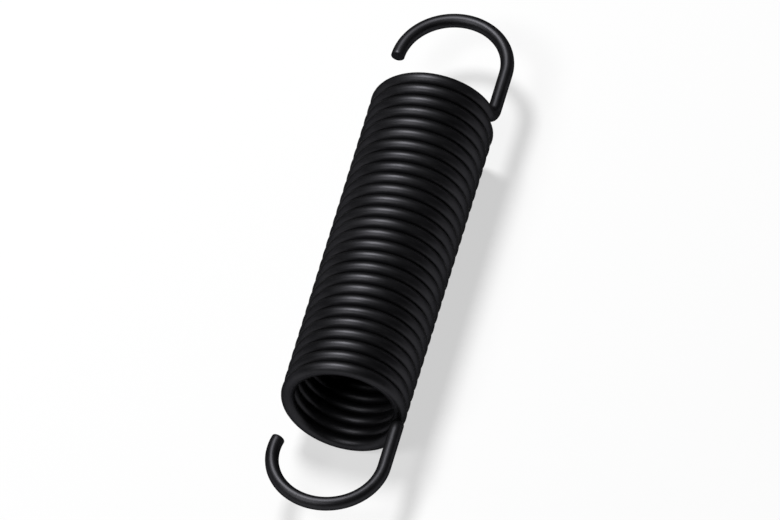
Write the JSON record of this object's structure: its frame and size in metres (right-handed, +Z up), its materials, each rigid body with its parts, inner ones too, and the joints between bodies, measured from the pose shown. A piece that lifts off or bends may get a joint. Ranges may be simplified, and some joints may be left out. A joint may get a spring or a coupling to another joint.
{
  "type": "extension spring",
  "caption": "Close-wound extension spring of round black wire, with an open side hook in line at each end to pull between two pins or holes.",
  "frame": {"origin": "on the surface that the spring lies on, under the middle of the coil", "axes": "+Y along the coil's axis towards the back hook, +X towards the side that carries both legs, +Z up; the hooks lie level, at the height of the coil's axis"},
  "size_m": [0.0187, 0.0898, 0.0184],
  "materials": {
    "black_wire": "satin"
  },
  "bodies": {
    "root": {"spring_wire": "black_wire"}
  },
  "joints": []
}
